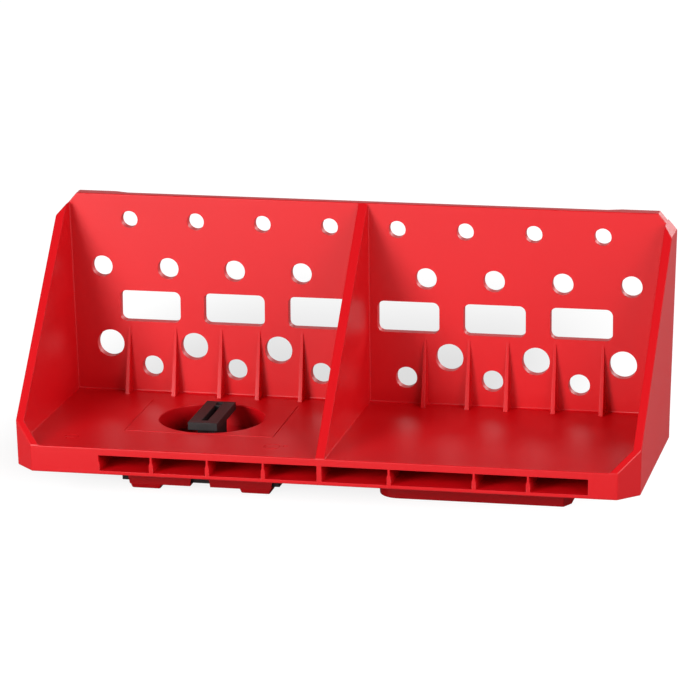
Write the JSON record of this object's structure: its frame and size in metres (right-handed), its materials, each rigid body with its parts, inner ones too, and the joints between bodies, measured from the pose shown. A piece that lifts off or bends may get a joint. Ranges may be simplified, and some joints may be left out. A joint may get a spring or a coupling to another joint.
{
  "type": "screwdriver rack",
  "caption": "Wide plastic tool rack with a perforated panel, end walls, a divider, open front channels and a pull latch in a stepped foot.",
  "frame": {"origin": "middle of the width and depth, level with the undersides of the feet that the rack stands on", "axes": "+X along the rack, towards the bay without the latch; +Y from the open front towards the perforated panel; +Z up from the feet. In use on a wall, the rack's +Z points away from the wall and +Y points up or down as it is hung."},
  "size_m": [0.5078, 0.188, 0.2137],
  "materials": {
    "red_plastic": "satin moulded polypropylene, saturated red",
    "black_plastic": "fine matt moulded nylon, black",
    "zinc_steel": "bright zinc-plated steel"
  },
  "bodies": {
    "rack": {"rack_base": "red_plastic", "tool_panel_left": "red_plastic", "tool_panel_right": "red_plastic", "end_wall_left": "red_plastic", "end_wall_right": "red_plastic", "centre_divider": "red_plastic", "latch_housing": "red_plastic", "foot_left": "red_plastic", "foot_right": "red_plastic", "latch_spring_left": "zinc_steel", "latch_spring_right": "zinc_steel", "foot_left_screw_1": "zinc_steel", "foot_left_screw_2": "zinc_steel", "foot_left_screw_3": "zinc_steel", "foot_left_screw_4": "zinc_steel", "foot_right_screw_1": "zinc_steel", "foot_right_screw_2": "zinc_steel", "foot_right_screw_3": "zinc_steel", "foot_right_screw_4": "zinc_steel"},
    "latch": {"latch_plate": "black_plastic", "finger_bar": "black_plastic", "bar_screw_front": "zinc_steel", "bar_screw_rear": "zinc_steel"}
  },
  "joints": [
    {"name": "latch_pull", "type": "slide", "parent": "rack", "child": "latch", "axis": [0, 0, 1], "range_m": [0, 0.008], "stiffness_N_per_m": 600, "springref_m": -0.01, "deforming": ["latch_spring_left", "latch_spring_right"]}
  ]
}
